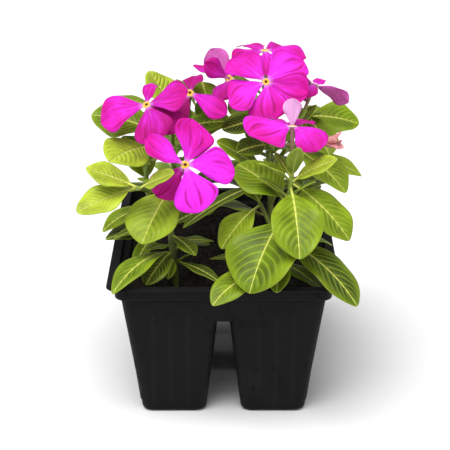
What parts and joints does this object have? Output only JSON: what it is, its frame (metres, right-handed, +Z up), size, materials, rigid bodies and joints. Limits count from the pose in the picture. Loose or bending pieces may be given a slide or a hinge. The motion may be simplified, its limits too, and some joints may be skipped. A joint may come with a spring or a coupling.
{
  "type": "potted madagascar periwinkle",
  "caption": "Potted Madagascar periwinkle: magenta blooms with yellow eyes over glossy green leaves, growing in a black plastic nursery cell pack filled with dark growing medium.",
  "frame": {"origin": "middle of the nursery pack, on the floor that it stands on", "axes": "+Z up, the way the stems grow; +Y to the back, so the pack's short front side faces -Y; +X to the right seen from the front"},
  "size_m": [0.1665, 0.209, 0.2019],
  "materials": {
    "black_plastic": "thin black thermoformed plastic, satin with dusty scuffs",
    "peat": "dark crumbly peat with bark bits, rough",
    "foliage": "living leaves and stems, glossy green with pale veins",
    "corolla": "living petals, velvety magenta with a yellow eye"
  },
  "bodies": {
    "root": {"pot": "black_plastic", "cell_front_left": "black_plastic", "cell_front_right": "black_plastic", "cell_left": "black_plastic", "cell_right": "black_plastic", "cell_back_left": "black_plastic", "cell_back_right": "black_plastic", "growing_medium": "peat", "plant_front_left": "foliage", "plant_left": "foliage", "plant_back_left": "foliage", "plant_right": "foliage", "plant_back_right": "foliage", "plant_front_right": "foliage", "bloom_front_left": "corolla", "bloom_left": "corolla", "bloom_middle": "corolla", "bloom_top_left": "corolla", "bloom_crown": "corolla", "bloom_back": "corolla", "bloom_right": "corolla", "bloom_front_right": "corolla", "bloom_spent": "corolla"}
  },
  "joints": []
}
